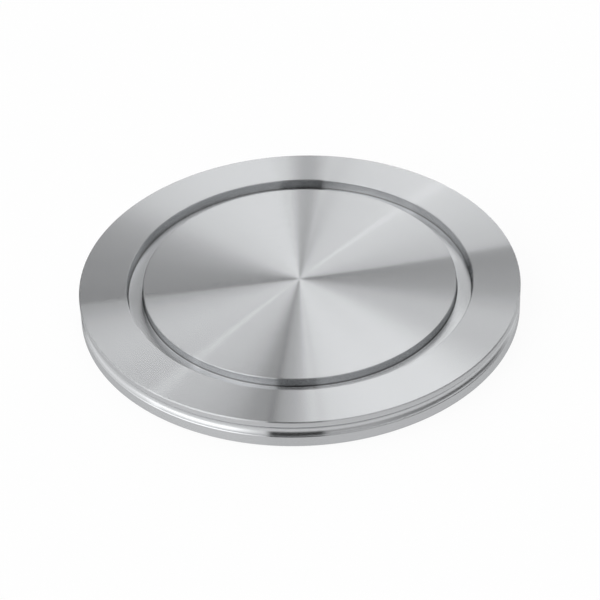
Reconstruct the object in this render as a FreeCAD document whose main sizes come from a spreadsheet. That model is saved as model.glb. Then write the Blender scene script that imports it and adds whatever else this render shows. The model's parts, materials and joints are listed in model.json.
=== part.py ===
import FreeCAD, Part
import math
import os
import Sketcher

# Blank flange of the claw-clamp kind, turned from one piece of stainless steel.
# The axis of the turning is Z. The back face lies at Z = 0 and the sealing face points up.

NODE = "blank_flange"

# Driving dimensions in millimetres, each with the words that stand beside it in the sheet.
SIZES = [
    ("flange_diameter", 130.0, "outside diameter of both lips of the rim"),
    ("flange_thickness", 9.0, "back face to sealing face"),
    ("face_chamfer", 0.3, "chamfer where the sealing face meets the rim"),
    ("foot_chamfer", 0.6, "chamfer where the back face meets the rim"),
    ("recess_diameter", 102.0, "centring diameter of the annular recess"),
    ("recess_width", 4.75, "radial width of the recess, from its wall to the disc"),
    ("recess_depth", 3.0, "sealing face to the floor of the recess"),
    ("recess_corner", 0.35, "metal that the tool leaves at the foot of both walls, across the corner"),
    ("recess_chamfer", 0.25, "chamfer where the sealing face meets the recess"),
    ("disc_step", 0.2, "how far the centre disc lies below the sealing face"),
    ("disc_chamfer", 0.2, "chamfer round the centre disc"),
    ("ring_groove_level", 3.55, "sealing face to the middle of the retaining ring groove"),
    ("ring_groove_radius", 1.75, "radius of the round section of the retaining ring groove"),
    ("ring_groove_depth", 1.2, "depth of the retaining ring groove"),
    ("ring_groove_chamfer", 0.15, "chamfer of both lips where they meet that groove"),
    ("claw_groove_inset", 6.5, "rim to the centre line of the claw groove on the back"),
    ("claw_groove_mouth", 4.6, "width of the claw groove at the back face"),
    ("claw_groove_floor", 2.0, "width of the flat floor of the claw groove"),
    ("claw_groove_depth", 1.5, "depth of the claw groove"),
    ("tool_overrun", 1.0, "how far a cut starts outside the metal"),
]

TOLERANCE = 1e-4

# Breaking an edge never changes the metal by more than this share of it.
EDGE_SHARE = 0.01

# Corners of the rough section that a sketch with four sides starts from, the lower inner one first.
ROUGH_SECTION = [(1.0, 1.0), (2.0, 1.0), (2.0, 2.0), (1.0, 2.0)]

# Centre and radius of the rough circle that a round section starts from.
ROUGH_CENTRE = (3.0, 3.0)
ROUGH_RADIUS = 1.0


def make_sheet(doc):
    """Write each driving dimension as one row: its name, its value and what it measures."""
    sheet = doc.addObject("Spreadsheet::Sheet", "sizes")
    for row, (alias, value, meaning) in enumerate(SIZES, start=1):
        sheet.set(f"A{row}", alias)
        sheet.set(f"B{row}", str(value))
        sheet.set(f"C{row}", meaning)
        sheet.setAlias(f"B{row}", alias)
    doc.recompute()
    return sheet


def section_plane(body):
    """The plane through the axis in which every section is drawn."""
    for feature in body.Origin.OriginFeatures:
        if feature.Role == "XZ_Plane":
            return feature
    raise RuntimeError("the body has no XZ plane")


def new_sketch(body, name):
    """Empty sketch in the plane of the sections."""
    sketch = body.newObject("Sketcher::SketchObject", name)
    sketch.AttachmentSupport = [(section_plane(body), "")]
    sketch.MapMode = "FlatFace"
    return sketch


def bind(sketch, constraint, name, expression):
    """Add a constraint whose value follows the sheet."""
    index = sketch.addConstraint(constraint)
    sketch.renameConstraint(index, name)
    sketch.setExpression(f"Constraints.{name}", expression)


def new_section(body, name):
    """Sketch of a section with four sides, of which the lower and the upper one are level."""
    sketch = new_sketch(body, name)
    corners = [FreeCAD.Vector(x, y, 0.0) for x, y in ROUGH_SECTION]
    for index, corner in enumerate(corners):
        sketch.addGeometry(Part.LineSegment(corner, corners[(index + 1) % 4]), False)
    for index in range(4):
        sketch.addConstraint(Sketcher.Constraint("Coincident", index, 2, (index + 1) % 4, 1))
    sketch.addConstraint(Sketcher.Constraint("Horizontal", 0))
    sketch.addConstraint(Sketcher.Constraint("Horizontal", 2))
    return sketch


def drive(sketch, kind, corner, name, expression):
    """Hold a corner of the section at a distance from the axis or from the back face."""
    from_axis, from_back = ROUGH_SECTION[corner]
    rough = from_axis if kind == "DistanceX" else from_back
    bind(sketch, Sketcher.Constraint(kind, -1, 1, corner, 1, rough), name, expression)


def ring_section(body, name, low, high, outer, inner=None):
    """Rectangle beside the axis, between two heights and two radii, or from the axis out."""
    sketch = new_section(body, name)
    sketch.addConstraint(Sketcher.Constraint("Vertical", 1))
    sketch.addConstraint(Sketcher.Constraint("Vertical", 3))
    if low is None:
        sketch.addConstraint(Sketcher.Constraint("PointOnObject", 0, 1, -1))
    else:
        drive(sketch, "DistanceY", 0, "low", low)
    drive(sketch, "DistanceY", 2, "high", high)
    if inner is None:
        sketch.addConstraint(Sketcher.Constraint("PointOnObject", 0, 1, -2))
    else:
        drive(sketch, "DistanceX", 0, "inner", inner)
    drive(sketch, "DistanceX", 1, "outer", outer)
    return sketch


def channel_section(body, name, centre, mouth, floor, depth):
    """Section with sloped flanks that stands on the back face, its wide side down."""
    sketch = new_section(body, name)
    sketch.addConstraint(Sketcher.Constraint("PointOnObject", 0, 1, -1))
    drive(sketch, "DistanceY", 2, "depth", depth)
    drive(sketch, "DistanceX", 0, "inner_mouth", f"{centre} - {mouth} / 2")
    drive(sketch, "DistanceX", 1, "outer_mouth", f"{centre} + {mouth} / 2")
    drive(sketch, "DistanceX", 2, "outer_floor", f"{centre} + {floor} / 2")
    drive(sketch, "DistanceX", 3, "inner_floor", f"{centre} - {floor} / 2")
    return sketch


def round_section(body, name, from_axis, from_back, radius):
    """Circle beside the axis, given by the place of its centre and its radius."""
    sketch = new_sketch(body, name)
    centre = FreeCAD.Vector(*ROUGH_CENTRE, 0.0)
    sketch.addGeometry(Part.Circle(centre, FreeCAD.Vector(0.0, 0.0, 1.0), ROUGH_RADIUS), False)
    across = Sketcher.Constraint("DistanceX", -1, 1, 0, 3, ROUGH_CENTRE[0])
    bind(sketch, across, "from_axis", from_axis)
    up = Sketcher.Constraint("DistanceY", -1, 1, 0, 3, ROUGH_CENTRE[1])
    bind(sketch, up, "from_back", from_back)
    bind(sketch, Sketcher.Constraint("Radius", 0, ROUGH_RADIUS), "radius", radius)
    return sketch


def turn(body, kind, name, sketch):
    """Carry a section once round the axis, as metal or as a cut."""
    feature = body.newObject(kind, name)
    feature.Profile = sketch
    feature.ReferenceAxis = (sketch, ["V_Axis"])
    feature.Angle = 360.0
    body.Document.recompute()
    return feature


def cut(body, name, sketch):
    """Turn a section out of the body and make sure that it took metal away."""
    before = body.Shape.Volume
    feature = turn(body, "PartDesign::Groove", name, sketch)
    if not body.Shape.Volume < before - TOLERANCE:
        raise RuntimeError(f"{name} removes no metal")
    return feature


def circles_at(shape, radius, height):
    """Names of the round edges about the axis that have this radius and this height."""
    names = []
    for number, edge in enumerate(shape.Edges, start=1):
        curve = edge.Curve
        if not isinstance(curve, Part.Circle):
            continue
        if abs(curve.Radius - radius) > TOLERANCE:
            continue
        if abs(curve.Center.z - height) > TOLERANCE:
            continue
        if math.hypot(curve.Center.x, curve.Center.y) > TOLERANCE:
            continue
        names.append(f"Edge{number}")
    return names


def chamfer(body, name, places, alias):
    """Break the edges at these places, each given as a radius and a height."""
    base = body.Tip
    edges = []
    for radius, height in places:
        found = circles_at(base.Shape, radius, height)
        if not found:
            raise RuntimeError(f"{name} finds no edge at radius {radius} and height {height}")
        edges.extend(found)
    feature = body.newObject("PartDesign::Chamfer", name)
    feature.Base = (base, edges)
    feature.setExpression("Size", f"sizes.{alias}")
    body.Document.recompute()
    change = abs(body.Shape.Volume - base.Shape.Volume)
    if not TOLERANCE < change < EDGE_SHARE * base.Shape.Volume:
        raise RuntimeError(f"{name} changes the metal by {change:.3f} mm3")
    return feature


def make_flange(doc, sheet):
    body = doc.addObject("PartDesign::Body", NODE)
    body.Label = NODE
    body.Placement = FreeCAD.Placement()

    # The plain disc that everything is cut from.
    section = ring_section(
        body, "blank_section",
        low=None,
        high="sizes.flange_thickness",
        outer="sizes.flange_diameter / 2",
    )
    turn(body, "PartDesign::Revolution", "blank", section)

    # The centre is faced a little lower than the sealing face, so that only the ring seals.
    section = ring_section(
        body, "facing_section",
        low="sizes.flange_thickness - sizes.disc_step",
        high="sizes.flange_thickness + sizes.tool_overrun",
        outer="sizes.recess_diameter / 2",
    )
    cut(body, "facing", section)

    # The annular recess centres the seal carrier and leaves the disc standing in the middle.
    section = ring_section(
        body, "recess_section",
        low="sizes.flange_thickness - sizes.recess_depth",
        high="sizes.flange_thickness + sizes.tool_overrun",
        outer="sizes.recess_diameter / 2",
        inner="sizes.recess_diameter / 2 - sizes.recess_width",
    )
    cut(body, "recess", section)

    # The round groove in the rim takes a retaining ring of round wire and parts the rim in two lips.
    section = round_section(
        body, "ring_groove_section",
        from_axis="sizes.flange_diameter / 2 - sizes.ring_groove_depth + sizes.ring_groove_radius",
        from_back="sizes.flange_thickness - sizes.ring_groove_level",
        radius="sizes.ring_groove_radius",
    )
    cut(body, "ring_groove", section)

    # The shallow groove with sloped flanks in the back takes the tips of the claws.
    section = channel_section(
        body, "claw_groove_section",
        centre="sizes.flange_diameter / 2 - sizes.claw_groove_inset",
        mouth="sizes.claw_groove_mouth",
        floor="sizes.claw_groove_floor",
        depth="sizes.claw_groove_depth",
    )
    cut(body, "claw_groove", section)

    rim = sheet.flange_diameter / 2
    top = sheet.flange_thickness
    wall = sheet.recess_diameter / 2
    disc = wall - sheet.recess_width
    floor = top - sheet.recess_depth
    groove = top - sheet.ring_groove_level
    radius = sheet.ring_groove_radius
    half_mouth = math.sqrt(radius ** 2 - (radius - sheet.ring_groove_depth) ** 2)
    lips = [(rim, groove + half_mouth), (rim, groove - half_mouth)]

    chamfer(body, "recess_corners", [(wall, floor), (disc, floor)], "recess_corner")
    chamfer(body, "lip_edges", lips, "ring_groove_chamfer")
    chamfer(body, "foot_edge", [(rim, 0.0)], "foot_chamfer")
    chamfer(body, "face_edge", [(rim, top)], "face_chamfer")
    chamfer(body, "recess_edge", [(wall, top)], "recess_chamfer")
    chamfer(body, "disc_edge", [(disc, top - sheet.disc_step)], "disc_chamfer")
    return body


def check(doc, body):
    """Stop before anything is written if a feature failed or the solid isn't whole."""
    for item in doc.Objects:
        if "Invalid" in item.State or "Error" in item.State:
            raise RuntimeError(f"{item.Name} failed: {item.State}")
    shape = body.Shape
    if shape.isNull() or not shape.isValid():
        raise RuntimeError(f"{body.Label} has no valid shape")
    if len(shape.Solids) != 1:
        raise RuntimeError(f"{body.Label} is {len(shape.Solids)} solids and should be one")


def main():
    doc = FreeCAD.newDocument("blank_flange_model")
    sheet = make_sheet(doc)
    body = make_flange(doc, sheet)
    doc.recompute()
    check(doc, body)
    os.makedirs("parts", exist_ok=True)
    body.Shape.exportStep(os.path.join("parts", f"{body.Label}.step"))
    box = body.Shape.optimalBoundingBox()
    print(f"{body.Label}: {box.XLength:.2f} x {box.YLength:.2f} x {box.ZLength:.2f} mm")
    print(f"volume {body.Shape.Volume:.1f} mm3, {len(body.Shape.Faces)} faces")


main()
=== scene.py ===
"""Surface, finish, studio and camera of a turned vacuum blank flange.

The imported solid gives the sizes. The flange is one surface of revolution: its section, with every edge
rounded as a turning tool leaves it, is carried once round the axis. Lengths are in metres. Angles are in
radians, and those of the sky's panels in degrees.
"""

import json
import math
from typing import NamedTuple

import bpy
import numpy as np
from bpy.props import FloatProperty, FloatVectorProperty, IntProperty, PointerProperty
from mathutils import Matrix, Vector


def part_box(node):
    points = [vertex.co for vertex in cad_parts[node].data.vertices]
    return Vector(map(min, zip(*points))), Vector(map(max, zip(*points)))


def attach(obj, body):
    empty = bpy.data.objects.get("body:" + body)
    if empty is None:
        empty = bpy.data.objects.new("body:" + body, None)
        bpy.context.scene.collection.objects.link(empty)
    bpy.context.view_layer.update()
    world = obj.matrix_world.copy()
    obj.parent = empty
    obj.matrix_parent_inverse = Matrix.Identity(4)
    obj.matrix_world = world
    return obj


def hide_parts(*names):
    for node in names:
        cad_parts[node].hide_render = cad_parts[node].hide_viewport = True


bl_info = {
    "name": "Vacuum Blank Flange",
    "version": (1, 0, 0),
    "blender": (4, 5, 0),
    "location": "View3D > Sidebar > Flange",
    "description": "Builds the turned surface, steel finish, studio and camera of a blank flange",
    "category": "Add Mesh",
}

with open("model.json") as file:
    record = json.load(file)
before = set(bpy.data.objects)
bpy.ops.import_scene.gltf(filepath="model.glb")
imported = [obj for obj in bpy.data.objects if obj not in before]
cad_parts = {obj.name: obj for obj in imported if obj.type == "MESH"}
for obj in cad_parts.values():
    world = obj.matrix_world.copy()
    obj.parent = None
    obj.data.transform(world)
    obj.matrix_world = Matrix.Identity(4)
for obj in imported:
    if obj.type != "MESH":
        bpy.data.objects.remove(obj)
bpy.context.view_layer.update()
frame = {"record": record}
NODE = "blank_flange"
MM = 0.001
MOUNTS = {mount["name"]: mount for mount in frame["record"]["mounts"]}

# Steps of the section: the most that one piece of an arc bends, and the length past which a straight run
# is divided.
ARC_STEP = math.radians(15)
LONG_RUN = 6 * MM
# Share of its radius by which the rim groove's arc is rounded: the whole radius would leave no straight run
# beside the arc.
FULL_ARC = 0.99

# The camera: its sensor, its focal length and the pixel of the sealing face's middle, in a square picture
# 600 pixels wide.
SENSOR_WIDTH = 36.0
IMAGE_WIDTH = 600
FOCAL_PIXELS = 2186.8
CENTRE_PIXEL = (299.4, 278.1)

# The floor's mesh: steps round, radius of its first ring, rings of its flat part and rings of its
# upturned edge.
FLOOR_TURNS = 96
FLOOR_START = 0.1
FLAT_RINGS = 8
EDGE_RINGS = 24


def mount_size(name, key):
    """A measure of one of the record's mounts, in metres."""
    return MOUNTS[name]["dims"][key] * MM


def solid_radius():
    """Outside radius of the solid."""
    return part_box(NODE)[1].x


def solid_height():
    """Height of the sealing face over the back face."""
    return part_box(NODE)[1].z


def length_property(name, description, default, low=0.0, high=0.2):
    """A size in metres that the sidebar shows as a length."""
    return FloatProperty(
        name=name, description=description, default=default, min=low, max=high, precision=5, unit="LENGTH"
    )


def share_property(name, description, default):
    """A plain number between nought and one."""
    return FloatProperty(name=name, description=description, default=default, min=0.0, max=1.0)


class FlangeSizes(bpy.types.PropertyGroup):
    """Sizes of the section. The outside ones come from the solid and its mounts."""

    rim_radius: length_property("Rim radius", "Outside radius of both lips", solid_radius())
    height: length_property("Height", "Sealing face over back face", solid_height())
    recess_radius: length_property(
        "Recess radius", "Outer wall of the annular recess", mount_size("centring_recess", "r_mm")
    )
    recess_width: length_property("Recess width", "From the recess wall to the standing disc", 4.75 * MM)
    recess_depth: length_property("Recess depth", "Sealing face down to the recess floor", 3.0 * MM)
    recess_corner: length_property(
        "Recess corner", "Metal left at the foot of both walls of the recess", 0.35 * MM
    )
    recess_chamfer: length_property("Recess chamfer", "Broken edge of the recess wall", 0.25 * MM)
    disc_step: length_property("Disc step", "How far the disc stands under the sealing face", 0.2 * MM)
    disc_chamfer: length_property("Disc chamfer", "Broken edge of the disc", 0.2 * MM)
    face_chamfer: length_property("Face chamfer", "Broken edge of the sealing face", 0.3 * MM)
    groove_level: length_property(
        "Groove level",
        "Back face to the middle of the rim groove",
        MOUNTS["retaining_ring_groove"]["pos_m"][2],
    )
    groove_root: length_property(
        "Groove root", "Radius at the root of the rim groove", mount_size("retaining_ring_groove", "r_mm")
    )
    groove_mouth: length_property(
        "Groove mouth",
        "Width of the rim groove at the rim",
        mount_size("retaining_ring_groove", "length_mm"),
    )
    groove_chamfer: length_property("Groove chamfer", "Broken edges of the rim groove", 0.15 * MM)
    foot_chamfer: length_property("Foot chamfer", "Broken edge round the back face", 0.6 * MM)
    claw_radius: length_property(
        "Claw groove radius",
        "Centre line of the groove in the back",
        mount_size("claw_groove", "pcd_mm") / 2,
    )
    claw_mouth: length_property("Claw groove mouth", "Width of that groove at the back face", 4.6 * MM)
    claw_floor: length_property("Claw groove floor", "Width of that groove at its floor", 2.0 * MM)
    claw_depth: length_property("Claw groove depth", "Depth of that groove", 1.5 * MM)
    edge_rounding: length_property("Edge rounding", "Radius left on outside edges", 0.05 * MM)
    tool_nose: length_property("Tool nose", "Radius left in inside corners", 0.1 * MM)
    turns: IntProperty(
        name="Steps round", description="Steps of the mesh round the axis", default=720, min=48
    )


class SteelLook(bpy.types.PropertyGroup):
    """Colour and gloss of the turned steel."""

    colour: FloatVectorProperty(
        name="Steel", description="Colour of the bare steel", subtype="COLOR", size=3,
        default=(0.6, 0.61, 0.622), min=0.0, max=1.0,
    )
    along: share_property("Spread along", "How far light spreads along the turning lines", 0.006)
    disc_across: share_property("Disc spread", "How far light spreads across the lines of the disc", 0.4)
    ring_across: share_property("Ring spread", "The same for the sealing face", 0.4)
    side_across: share_property("Side spread", "The same for the lips and the back", 0.2)
    groove_across: share_property("Groove spread", "The same for the rim groove", 0.15)
    recess_across: share_property("Recess spread", "The same for the floor of the recess", 0.25)
    wall_across: share_property("Wall spread", "The same for the walls of the recess", 0.2)
    edge_across: share_property("Edge spread", "The same for broken edges", 0.5)
    corner_across: share_property("Corner spread", "The same for the inside corners of the recess", 0.5)
    line_pitch: length_property("Line pitch", "Spacing of the turning lines that can be seen", 0.45 * MM)


class StageLook(bpy.types.PropertyGroup):
    """The pale floor, the soft light and the place of the camera."""

    floor_colour: FloatVectorProperty(
        name="Floor", description="Colour of the floor and of its upturned edge", subtype="COLOR", size=3,
        default=(0.93, 0.93, 0.93), min=0.0, max=1.0,
    )
    floor_glow: share_property("Floor glow", "Share of the floor that shows plain white", 0.93)
    floor_flat: length_property("Flat floor", "Radius to which the floor is flat", 1.2, high=5.0)
    floor_radius: length_property("Floor radius", "Radius of the upturned edge", 2.1, high=5.0)
    floor_rise: length_property("Floor rise", "Height of the upturned edge", 0.3, high=2.0)
    sky: FloatProperty(name="Sky", description="Even light from all sides", default=0.05, min=0.0, max=2.0)
    panel_level: FloatProperty(
        name="Panel level", description="Factor on the light of all panels", default=1.05, min=0.0, max=4.0
    )
    camera_distance: length_property("Camera distance", "From the sealing face's centre", 0.645, high=5.0)
    camera_elevation: FloatProperty(
        name="Camera elevation", description="How steeply the camera looks down", subtype="ANGLE",
        default=math.radians(37.09),
    )
    camera_roll: FloatProperty(
        name="Camera roll", description="Turn of the camera about its view", subtype="ANGLE",
        default=math.radians(2.16),
    )


class ZoneShadingAndMarks(NamedTuple):
    """Painted light and shade of a zone beside plain steel, and strengths of its lines, bands, clouding and
    specks.
    """

    tone: float
    lines: float
    bands: float
    clouds: float
    specks: float


# The zones of the surface: the lips and the back, the sealing face, the standing disc, the rim groove,
# the floor of the recess, its walls, the broken edges and the inside corners of the recess. The first
# number of each is painted light and shade on the one steel: below 1 painted shade, above 1 painted light.
ZONE_SHADING_AND_MARKS = {
    # Painted shade: the lips and the back darker than the faces.
    "side": ZoneShadingAndMarks(0.8, 0.08, 0.05, 0.03, 0.0),
    "ring": ZoneShadingAndMarks(1.0, 0.05, 0.04, 0.05, 0.0),
    "disc": ZoneShadingAndMarks(1.0, 0.05, 0.04, 0.07, 0.05),
    # Painted shade: the rim groove darker.
    "groove": ZoneShadingAndMarks(0.88, 0.05, 0.03, 0.0, 0.0),
    # Painted light: the recess floor brighter than the faces.
    "recess": ZoneShadingAndMarks(1.15, 0.08, 0.08, 0.03, 0.0),
    # Painted shade: the walls of the recess darker.
    "wall": ZoneShadingAndMarks(0.9, 0.08, 0.08, 0.03, 0.0),
    # Painted shade: the broken edges darker.
    "edge": ZoneShadingAndMarks(0.9, 0.05, 0.0, 0.0, 0.0),
    # Painted shade, deepest of all: the inside corners of the recess.
    "corner": ZoneShadingAndMarks(0.35, 0.05, 0.0, 0.0, 0.0),
}
ZONES = tuple(ZONE_SHADING_AND_MARKS)

# The marks: how fine the lines and the bands are for one line pitch, the size of the clouding and of the
# specks' pattern, the value over which that pattern is a speck, and how much the marks vary the gloss.
LINE_SCALE = 0.5
BAND_SCALE = 0.045
CLOUD_SIZE = 1.2 * MM
SPECK_SIZE = 1.6 * MM
SPECK_LIMIT = 0.335
GLOSS_WANDER = 0.01


class SkyPanel(NamedTuple):
    """A soft panel of light on the sky, as seen on a map from straight above.

    Its two sides are angles in degrees, counted from the right round the spot that the level face mirrors
    to the camera. Its near and far borders are distances from that spot, in radii of the sky. Each soft
    width says over how much a border fades.
    """

    start: float
    end: float
    start_soft: float
    end_soft: float
    near: float
    far: float
    reach_soft: float
    level: float


# Angles of both sides, their soft widths, near and far border, the soft width of these, and the level.
PANELS = {
    "left_bank": SkyPanel(191, 260.6, 12, 2.2, 0.45, 2.2, 0.36, 0.96),
    "gap_glow": SkyPanel(260.7, 274.2, 2.2, 2.5, -0.1, 0.9, 0.08, 1.1),
    "front_bank": SkyPanel(272, 324, 11, 28, 0.06, 0.97, 0.2, 1.3),
    "front_step": SkyPanel(274.7, 305, 1.5, 33, 0.16, 1.9, 0.16, 0.36),
    "right_wing": SkyPanel(319, 368.8, 22, 1.6, -0.25, 0.2, 0.4, 1.9),
    "right_far": SkyPanel(333, 368, 20, 3, 0.5, 1, 0.3, 0.95),
    "back_right": SkyPanel(8.6, 80, 1.6, 1.4, -0.2, 2.2, 0.36, 1.42),
    "back_glow": SkyPanel(27, 73, 38, 16, 0.15, 2.2, 0.08, 2.3),
    "streak": SkyPanel(226.8, 230, 3, 2, 0.35, 1.2, 0.2, 0.5),
    "back_left": SkyPanel(92, 157, 20, 31, 0.04, 2.2, 0.05, 1.28),
    "far_left": SkyPanel(198, 255, 20, 12, 1.3, 2.2, 0.2, 1.1),
    "low_left": SkyPanel(193, 251, 12, 20, 0.82, 1.9, 0.14, 0.3),
    "low_front": SkyPanel(276, 290, 2.3, 20, 1.22, 1.56, 0.12, 0.4),
}


def fresh_mesh_object(name, places, faces):
    """A linked object with the given points and faces, at the origin."""
    mesh = bpy.data.meshes.new(name)
    mesh.from_pydata(places.tolist(), [], faces)
    mesh.validate()
    piece = bpy.data.objects.new(name, mesh)
    bpy.context.scene.collection.objects.link(piece)
    return piece


def section_corners(s):
    """Corners of the section, from the middle of the back out round the rim and in to the disc's middle.

    Each is (radius, height, radius of its rounding, zone of the run that follows it).
    """
    edge, nose = s.edge_rounding, s.tool_nose
    half_mouth, half_floor = s.claw_mouth / 2, s.claw_floor / 2
    disc_radius = s.recess_radius - s.recess_width
    floor = s.height - s.recess_depth
    disc_top = s.height - s.disc_step
    rounded = s.recess_corner / 2
    side, ring, disc, groove, recess, wall, broken, corner = range(len(ZONES))
    return [
        (0.0, 0.0, 0.0, side),
        (s.claw_radius - half_mouth, 0.0, edge, side),
        (s.claw_radius - half_floor, s.claw_depth, nose, side),
        (s.claw_radius + half_floor, s.claw_depth, nose, side),
        (s.claw_radius + half_mouth, 0.0, edge, side),
        (s.rim_radius - s.foot_chamfer, 0.0, edge, side),
        (s.rim_radius, s.foot_chamfer, edge, side),
        *groove_corners(s, groove, side),
        (s.rim_radius, s.height - s.face_chamfer, edge, broken),
        (s.rim_radius - s.face_chamfer, s.height, edge, ring),
        (s.recess_radius + s.recess_chamfer, s.height, edge, broken),
        (s.recess_radius, s.height - s.recess_chamfer, edge, wall),
        (s.recess_radius, floor + s.recess_corner, rounded, corner),
        (s.recess_radius - s.recess_corner, floor, rounded, recess),
        (disc_radius + s.recess_corner, floor, rounded, corner),
        (disc_radius, floor + s.recess_corner, rounded, wall),
        (disc_radius, disc_top - s.disc_chamfer, edge, broken),
        (disc_radius - s.disc_chamfer, disc_top, edge, disc),
        (0.0, disc_top, 0.0, disc),
    ]


def groove_corners(s, groove, side):
    """Corners of the round rim groove from its lower lip up, in the form that section_corners uses.

    With the half mouth w and the depth d its radius is R = (w^2 + d^2) / 2d. A broken edge takes an arc
    of its own length off each end, which leaves the half angle t = asin(w / R) - chamfer / R. The
    tangents at both ends meet R / cos t inside the centre, so one corner there, rounded by almost R, is
    the whole arc.
    """
    half, depth = s.groove_mouth / 2, s.rim_radius - s.groove_root
    radius = (half ** 2 + depth ** 2) / (2 * depth)
    open_angle = math.asin(half / radius) - s.groove_chamfer / radius
    centre = s.groove_root + radius
    end_radius, end_rise = centre - radius * math.cos(open_angle), radius * math.sin(open_angle)
    lip_rise = half + s.groove_chamfer
    edge = s.edge_rounding
    return [
        (s.rim_radius, s.groove_level - lip_rise, edge, groove),
        (end_radius, s.groove_level - end_rise, edge, groove),
        (centre - radius / math.cos(open_angle), s.groove_level, FULL_ARC * radius, groove),
        (end_radius, s.groove_level + end_rise, edge, groove),
        (s.rim_radius, s.groove_level + lip_rise, edge, side),
    ]


def smooth_section(s):
    """The section as arrays: radius, height, outward normal and zone of the run after each point.

    The unit directions a before a corner and b after it have the angle w between them. The arc of radius
    q starts q tan(w / 2) before the corner. Its normal turns evenly from that of a to that of b, and its
    point is the arc's centre plus q times the normal, or minus it in an inside corner. Long straight runs
    are divided evenly.
    """
    corners = section_corners(s)
    spots = np.array([corner[:2] for corner in corners])
    points, normals, zones = [spots[:1]], [np.array([[0.0, -1.0]])], [corners[0][3]]
    for i in range(1, len(corners) - 1):
        before, after = spots[i] - spots[i - 1], spots[i + 1] - spots[i]
        before, after = before / np.linalg.norm(before), after / np.linalg.norm(after)
        start = math.atan2(before[1], before[0])
        bend = math.atan2(before[0] * after[1] - before[1] * after[0], before @ after)
        radius = corners[i][2]
        steps = max(2, math.ceil(abs(bend) / ARC_STEP))
        heading = start + bend * np.linspace(0, 1, steps + 1)
        normal = np.stack([np.sin(heading), -np.cos(heading)], 1)
        side = math.copysign(1.0, bend)
        centre = spots[i] - before * radius * math.tan(abs(bend) / 2) - side * radius * normal[0]
        points.append(centre + side * radius * normal)
        normals.append(normal)
        zones += [corners[i - 1][3]] * steps + [corners[i][3]]
    points.append(spots[-1:])
    normals.append(np.array([[0.0, 1.0]]))
    zones.append(corners[-1][3])
    return divide_long_runs(np.concatenate(points), np.concatenate(normals), np.array(zones))


def divide_long_runs(points, normals, zones):
    """Puts evenly spaced points on each run longer than LONG_RUN, with the run's own normal and zone."""
    lengths = np.linalg.norm(np.diff(points, axis=0), axis=1)
    parts = np.maximum(1, np.ceil(lengths / LONG_RUN)).astype(int)
    first = np.repeat(np.arange(len(parts)), parts)
    start = np.repeat(np.cumsum(parts) - parts, parts)
    share = ((np.arange(len(first)) - start) / np.repeat(parts, parts))[:, None]
    points = np.concatenate([points[first] * (1 - share) + points[first + 1] * share, points[-1:]])
    normals = np.concatenate([normals[first], normals[-1:]])
    return points, normals, np.concatenate([zones[first], zones[-1:]])


def turned_surface(name, s):
    """The section carried once round the axis.

    At the angle t and the section's point i the place is (r_i cos t, r_i sin t, z_i) and the normal is
    (n_i cos t, n_i sin t, m_i). The two points on the axis are single ones, each the tip of a fan.
    """
    points, normals, zones = smooth_section(s)
    rows = len(points) - 2
    turns = s.turns
    angle = 2 * math.pi * np.arange(turns) / turns
    circle = np.stack([np.cos(angle), np.sin(angle)], 1)

    def carried(pairs):
        """Pairs (outward, upward) turned to every angle, with the two axis points first and last."""
        flat = pairs[1:-1, None, :1] * circle
        up = np.broadcast_to(pairs[1:-1, None, 1:], flat.shape[:2] + (1,))
        inner = np.concatenate([flat, up], 2).reshape(-1, 3)
        ends = [[(0.0, 0.0, pairs[k, 1])] for k in (0, -1)]
        return np.concatenate([ends[0], inner, ends[1]])

    row, column = np.meshgrid(np.arange(rows - 1), np.arange(turns), indexing="ij")
    here = 1 + row * turns + column
    beside = 1 + row * turns + (column + 1) % turns
    quads = np.stack([here, beside, beside + turns, here + turns], 2).reshape(-1, 4)
    rim = np.arange(turns)
    ahead = (rim + 1) % turns
    top = 1 + (rows - 1) * turns
    back_fan = np.stack([np.zeros(turns, int), 1 + ahead, 1 + rim], 1)
    front_fan = np.stack([top + rim, top + ahead, np.full(turns, 1 + rows * turns)], 1)
    faces = back_fan.tolist() + quads.tolist() + front_fan.tolist()
    piece = fresh_mesh_object(name, carried(points), faces)
    piece.data.polygons.foreach_set("material_index", zones[:-1].repeat(turns).astype(np.int32))
    piece.data.shade_smooth()
    piece.data.normals_split_custom_set_from_vertices(carried(normals).tolist())
    return piece


def add_node(tree, kind, **settings):
    """A new node of a kind, with plain settings by name."""
    node = tree.nodes.new("ShaderNode" + kind)
    for key, value in settings.items():
        setattr(node, key, value)
    return node


def math_node(tree, operation, first, second=0.0, third=0.0):
    """A Math node whose inputs are sockets or numbers; returns its output."""
    node = add_node(tree, "Math", operation=operation)
    for slot, value in enumerate((first, second, third)):
        if isinstance(value, (int, float)):
            node.inputs[slot].default_value = value
        else:
            tree.links.new(value, node.inputs[slot])
    return node.outputs[0]


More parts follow.
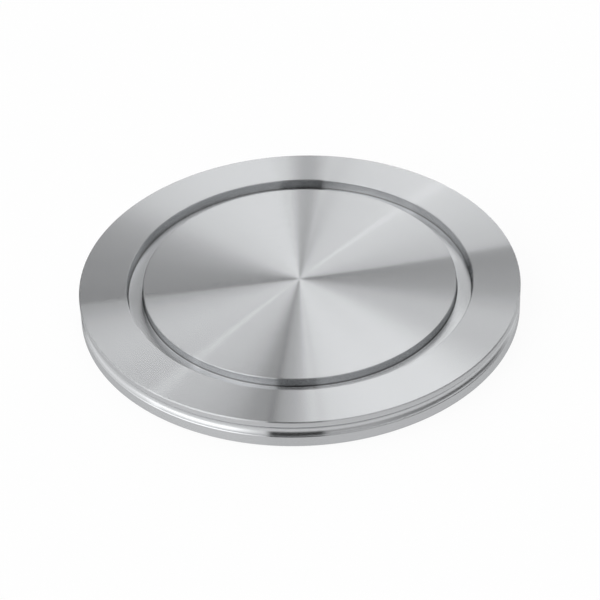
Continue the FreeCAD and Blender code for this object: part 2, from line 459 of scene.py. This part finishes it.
def turning_marks():
    """Node group: the fine rings, faint clouding and specks of a turned face.

    The lines' coordinate is the distance from the axis plus the height, so flat faces get circles and
    walls get lines round them. The group puts out a tint near 1 and a wander of the gloss near 0.
    """
    name = "turning_marks"
    if name in bpy.data.node_groups:
        return bpy.data.node_groups[name]
    tree = bpy.data.node_groups.new(name, "ShaderNodeTree")
    face = tree.interface
    for label in ("Pitch", "Lines", "Bands", "Clouds", "Specks"):
        face.new_socket(label, in_out="INPUT", socket_type="NodeSocketFloat")
    for label in ("Tint", "Rough"):
        face.new_socket(label, in_out="OUTPUT", socket_type="NodeSocketFloat")
    given = tree.nodes.new("NodeGroupInput")
    result = tree.nodes.new("NodeGroupOutput")
    place = add_node(tree, "TexCoord").outputs["Object"]
    parts = add_node(tree, "SeparateXYZ")
    tree.links.new(place, parts.inputs[0])
    across = add_node(tree, "CombineXYZ")
    tree.links.new(parts.outputs[0], across.inputs[0])
    tree.links.new(parts.outputs[1], across.inputs[1])
    radius = add_node(tree, "VectorMath", operation="LENGTH")
    tree.links.new(across.outputs[0], radius.inputs[0])
    along = math_node(tree, "ADD", radius.outputs["Value"], parts.outputs[2])
    step = math_node(tree, "DIVIDE", along, given.outputs["Pitch"])

    def noise(dimensions, coordinate, scale, detail=0.0, rough=0.5):
        """Noise centred on nought."""
        node = add_node(tree, "TexNoise", noise_dimensions=dimensions)
        node.inputs["Scale"].default_value = scale
        node.inputs["Detail"].default_value = detail
        node.inputs["Roughness"].default_value = rough
        tree.links.new(coordinate, node.inputs["W" if dimensions == "1D" else "Vector"])
        return math_node(tree, "SUBTRACT", node.outputs[0], 0.5)

    lines = noise("1D", step, LINE_SCALE, detail=3.0, rough=0.7)
    bands = noise("1D", step, BAND_SCALE, detail=2.0)
    clouds = noise("3D", place, 1 / CLOUD_SIZE, detail=3.0, rough=0.6)
    spots = math_node(tree, "GREATER_THAN", noise("3D", place, 1 / SPECK_SIZE), SPECK_LIMIT)
    speck = math_node(tree, "MULTIPLY", spots, given.outputs["Specks"])
    tint = math_node(tree, "MULTIPLY_ADD", lines, given.outputs["Lines"], 1.0)
    tint = math_node(tree, "MULTIPLY_ADD", bands, given.outputs["Bands"], tint)
    tint = math_node(tree, "MULTIPLY_ADD", clouds, given.outputs["Clouds"], tint)
    tint = math_node(tree, "SUBTRACT", tint, speck)
    rough = math_node(tree, "ADD", lines, bands)
    tree.links.new(tint, result.inputs["Tint"])
    tree.links.new(rough, result.inputs["Rough"])
    return tree


def turned_steel(zone, look):
    """Bare steel whose fine grooves run round the axis, with the painted light and shade and the marks of
    one zone.

    With the roughness q and the anisotropy a, the gloss node spreads light by q^2 (1 - a) along its
    tangent and by q^2 / (1 - a) across it. So the two spreads give q = (along across)^(1/4) and
    a = 1 - sqrt(along / across).
    """
    finish = ZONE_SHADING_AND_MARKS[zone]
    across = getattr(look, zone + "_across")
    material = bpy.data.materials.new("turned_steel_" + zone)
    material.use_nodes = True
    tree = material.node_tree
    tree.nodes.clear()
    shader = add_node(tree, "BsdfAnisotropic", distribution="GGX")
    shader.inputs["Anisotropy"].default_value = 1 - math.sqrt(look.along / across)
    marks = add_node(tree, "Group", node_tree=turning_marks())
    marks.inputs["Pitch"].default_value = look.line_pitch
    marks.inputs["Lines"].default_value = finish.lines
    marks.inputs["Bands"].default_value = finish.bands
    marks.inputs["Clouds"].default_value = finish.clouds
    marks.inputs["Specks"].default_value = finish.specks
    round_axis = add_node(tree, "Tangent", direction_type="RADIAL", axis="Z")
    tree.links.new(round_axis.outputs[0], shader.inputs["Tangent"])
    tinted = add_node(tree, "VectorMath", operation="SCALE")
    # The zone's painted light and shade scales the steel's colour.
    tinted.inputs[0].default_value = [finish.tone * part for part in look.colour]
    tree.links.new(marks.outputs["Tint"], tinted.inputs["Scale"])
    tree.links.new(tinted.outputs[0], shader.inputs["Color"])
    roughness = (look.along * across) ** 0.25
    gloss = math_node(tree, "MULTIPLY_ADD", marks.outputs["Rough"], GLOSS_WANDER, roughness)
    tree.links.new(gloss, shader.inputs["Roughness"])
    output = add_node(tree, "OutputMaterial")
    tree.links.new(shader.outputs[0], output.inputs["Surface"])
    return material


class FLANGE_OT_surface(bpy.types.Operator):
    """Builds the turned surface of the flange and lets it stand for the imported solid"""

    bl_idname = "flange.surface"
    bl_label = "Flange Surface"

    def execute(self, context):
        piece = turned_surface("flange_skin", context.scene.flange_sizes)
        look = context.scene.steel_look
        for zone in ZONES:
            piece.data.materials.append(turned_steel(zone, look))
        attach(piece, "root")
        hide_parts(NODE)
        return {"FINISHED"}


def floor_surface(look):
    """Round floor with an upturned edge.

    At the distance r from the middle its height is rise u^2 (3 - 2u), where the share
    u = (r - flat) / (edge - flat) is held between 0 and 1. Its middle is one point, the tip of a fan.
    """
    turns = FLOOR_TURNS
    level = np.linspace(FLOOR_START, look.floor_flat, FLAT_RINGS)
    edge = np.linspace(look.floor_flat, look.floor_radius, EDGE_RINGS + 1)
    reach = np.concatenate([level, edge[1:]])
    u = np.clip((reach - look.floor_flat) / (look.floor_radius - look.floor_flat), 0, 1)
    height = look.floor_rise * u * u * (3 - 2 * u)
    angle = 2 * math.pi * np.arange(turns) / turns
    x, y = reach[:, None] * np.cos(angle), reach[:, None] * np.sin(angle)
    inner = np.stack([x, y, np.broadcast_to(height[:, None], x.shape)], 2).reshape(-1, 3)
    places = np.concatenate([[(0.0, 0.0, 0.0)], inner])
    row, column = np.meshgrid(np.arange(len(reach) - 1), np.arange(turns), indexing="ij")
    here = 1 + row * turns + column
    beside = 1 + row * turns + (column + 1) % turns
    quads = np.stack([here, here + turns, beside + turns, beside], 2).reshape(-1, 4)
    rim = np.arange(turns)
    fan = np.stack([np.zeros(turns, int), 1 + rim, 1 + (rim + 1) % turns], 1)
    floor = fresh_mesh_object("studio_floor", places, fan.tolist() + quads.tolist())
    floor.data.shade_smooth()
    return floor


def floor_material(look):
    """Matt near-white that keeps shadows, mixed with plain white where the camera or a mirror sees it."""
    material = bpy.data.materials.new("studio_white")
    material.use_nodes = True
    tree = material.node_tree
    tree.nodes.clear()
    matt = add_node(tree, "BsdfDiffuse")
    matt.inputs["Color"].default_value = (*look.floor_colour, 1.0)
    glow = add_node(tree, "Emission")
    glow.inputs["Strength"].default_value = 1.0
    path = add_node(tree, "LightPath")
    seen = math_node(tree, "ADD", path.outputs["Is Camera Ray"], path.outputs["Is Glossy Ray"])
    seen = math_node(tree, "ADD", seen, path.outputs["Is Transmission Ray"])
    share = math_node(tree, "MULTIPLY", math_node(tree, "MINIMUM", seen, 1.0), look.floor_glow)
    mix = add_node(tree, "MixShader")
    tree.links.new(share, mix.inputs[0])
    tree.links.new(matt.outputs[0], mix.inputs[1])
    tree.links.new(glow.outputs[0], mix.inputs[2])
    output = add_node(tree, "OutputMaterial")
    tree.links.new(mix.outputs[0], output.inputs["Surface"])
    return material


def soft_step(tree, value, low, high):
    """A mask that rises smoothly from 0 at low to 1 at high, or falls where high is the lower one."""
    node = add_node(tree, "MapRange", interpolation_type="SMOOTHSTEP")
    tree.links.new(value, node.inputs["Value"])
    node.inputs["From Min"].default_value = low
    node.inputs["From Max"].default_value = high
    return node.outputs[0]


def panel_light(tree, angle, reach, panel):
    """Light of one panel: its level times a soft mask over the angle and one over the distance."""
    start, end, start_soft, end_soft = [math.radians(value) for value in panel[:4]]
    middle, half, blur = (start + end) / 2, (end - start) / 2, panel.reach_soft / 2
    turned = math_node(tree, "WRAP", math_node(tree, "SUBTRACT", angle, middle), math.pi, -math.pi)
    after = soft_step(tree, turned, -half - start_soft / 2, -half + start_soft / 2)
    before = soft_step(tree, turned, half + end_soft / 2, half - end_soft / 2)
    beyond = soft_step(tree, reach, panel.near - blur, panel.near + blur)
    within = soft_step(tree, reach, panel.far + blur, panel.far - blur)
    wedge = math_node(tree, "MULTIPLY", after, before)
    ring = math_node(tree, "MULTIPLY", beyond, within)
    return math_node(tree, "MULTIPLY", math_node(tree, "MULTIPLY", wedge, ring), panel.level)


def panelled_sky(look):
    """Even sky plus the soft panels.

    On the map a direction lies at its own (x, y), and the spot that the level face mirrors to the camera
    lies at (0, cos of the camera's elevation). A turned face shows at each angle the light on the line of
    that angle through the spot, so a panel whose sides point to it bounds a sector of the face.
    """
    world = bpy.data.worlds.new("studio_sky")
    world.use_nodes = True
    tree = world.node_tree
    parts = add_node(tree, "SeparateXYZ")
    tree.links.new(add_node(tree, "TexCoord").outputs["Generated"], parts.inputs[0])
    right = parts.outputs[0]
    back = math_node(tree, "SUBTRACT", parts.outputs[1], math.cos(look.camera_elevation))
    angle = math_node(tree, "ARCTAN2", back, right)
    across = math_node(tree, "MULTIPLY", right, right)
    reach = math_node(tree, "SQRT", math_node(tree, "MULTIPLY_ADD", back, back, across))
    light = math_node(tree, "ADD", look.sky)
    for panel in PANELS.values():
        added = panel_light(tree, angle, reach, panel)
        light = math_node(tree, "MULTIPLY_ADD", added, look.panel_level, light)
    background = tree.nodes["Background"]
    background.inputs["Color"].default_value = (1.0, 1.0, 1.0, 1.0)
    tree.links.new(light, background.inputs["Strength"])
    return world


def add_camera(look, face_height):
    """The camera at the photograph's angle.

    It looks at the middle of the sealing face and is rolled about its view. Its lens is shifted so that
    this middle comes to its own pixel.
    """
    camera = bpy.data.cameras.new("camera")
    camera.sensor_fit = "HORIZONTAL"
    camera.sensor_width = SENSOR_WIDTH
    camera.lens = SENSOR_WIDTH * FOCAL_PIXELS / IMAGE_WIDTH
    camera.clip_start, camera.clip_end = 0.01, 20.0
    middle = IMAGE_WIDTH / 2
    camera.shift_x = (middle - CENTRE_PIXEL[0]) / IMAGE_WIDTH
    camera.shift_y = (CENTRE_PIXEL[1] - middle) / IMAGE_WIDTH
    holder = bpy.data.objects.new("camera", camera)
    bpy.context.scene.collection.objects.link(holder)
    back = Vector((0.0, -math.cos(look.camera_elevation), math.sin(look.camera_elevation)))
    turned = Matrix.Rotation(math.pi / 2 - look.camera_elevation, 4, "X")
    turned = turned @ Matrix.Rotation(-look.camera_roll, 4, "Z")
    turned.translation = back * look.camera_distance + Vector((0.0, 0.0, face_height))
    holder.matrix_world = turned
    bpy.context.scene.camera = holder


class FLANGE_OT_stage(bpy.types.Operator):
    """Sets up the pale floor, the sky with its soft panels and the camera"""

    bl_idname = "flange.stage"
    bl_label = "Studio And Camera"

    def execute(self, context):
        look = context.scene.stage_look
        floor = floor_surface(look)
        floor.data.materials.append(floor_material(look))
        context.scene.world = panelled_sky(look)
        context.scene.view_settings.view_transform = "Standard"
        add_camera(look, context.scene.flange_sizes.height)
        return {"FINISHED"}


class FLANGE_PT_panel(bpy.types.Panel):
    """Lists the sizes, the finish and the stage of the flange"""

    bl_idname = "FLANGE_PT_panel"
    bl_label = "Vacuum Blank Flange"
    bl_space_type = "VIEW_3D"
    bl_region_type = "UI"
    bl_category = "Flange"

    def draw(self, context):
        for name, operator in GROUPS.items():
            column = self.layout.column(align=True)
            group = getattr(context.scene, name)
            for key in group.__annotations__:
                column.prop(group, key)
            if operator:
                column.operator(operator)


# The scene's groups of settings, each with the operator whose button stands under it in the sidebar.
GROUPS = {"flange_sizes": None, "steel_look": "flange.surface", "stage_look": "flange.stage"}
CLASSES = (FlangeSizes, SteelLook, StageLook, FLANGE_OT_surface, FLANGE_OT_stage, FLANGE_PT_panel)


def register():
    """Registers the classes and gives the scene its three groups of settings."""
    for item in CLASSES:
        bpy.utils.register_class(item)
    bpy.types.Scene.flange_sizes = PointerProperty(type=FlangeSizes)
    bpy.types.Scene.steel_look = PointerProperty(type=SteelLook)
    bpy.types.Scene.stage_look = PointerProperty(type=StageLook)


def unregister():
    """Takes the settings and the classes out again."""
    for name in GROUPS:
        delattr(bpy.types.Scene, name)
    for item in reversed(CLASSES):
        bpy.utils.unregister_class(item)


def main():
    """Registers the classes, then builds the flange and its stage."""
    register()
    bpy.ops.flange.surface()
    bpy.ops.flange.stage()


if __name__ == "__main__":
    main()
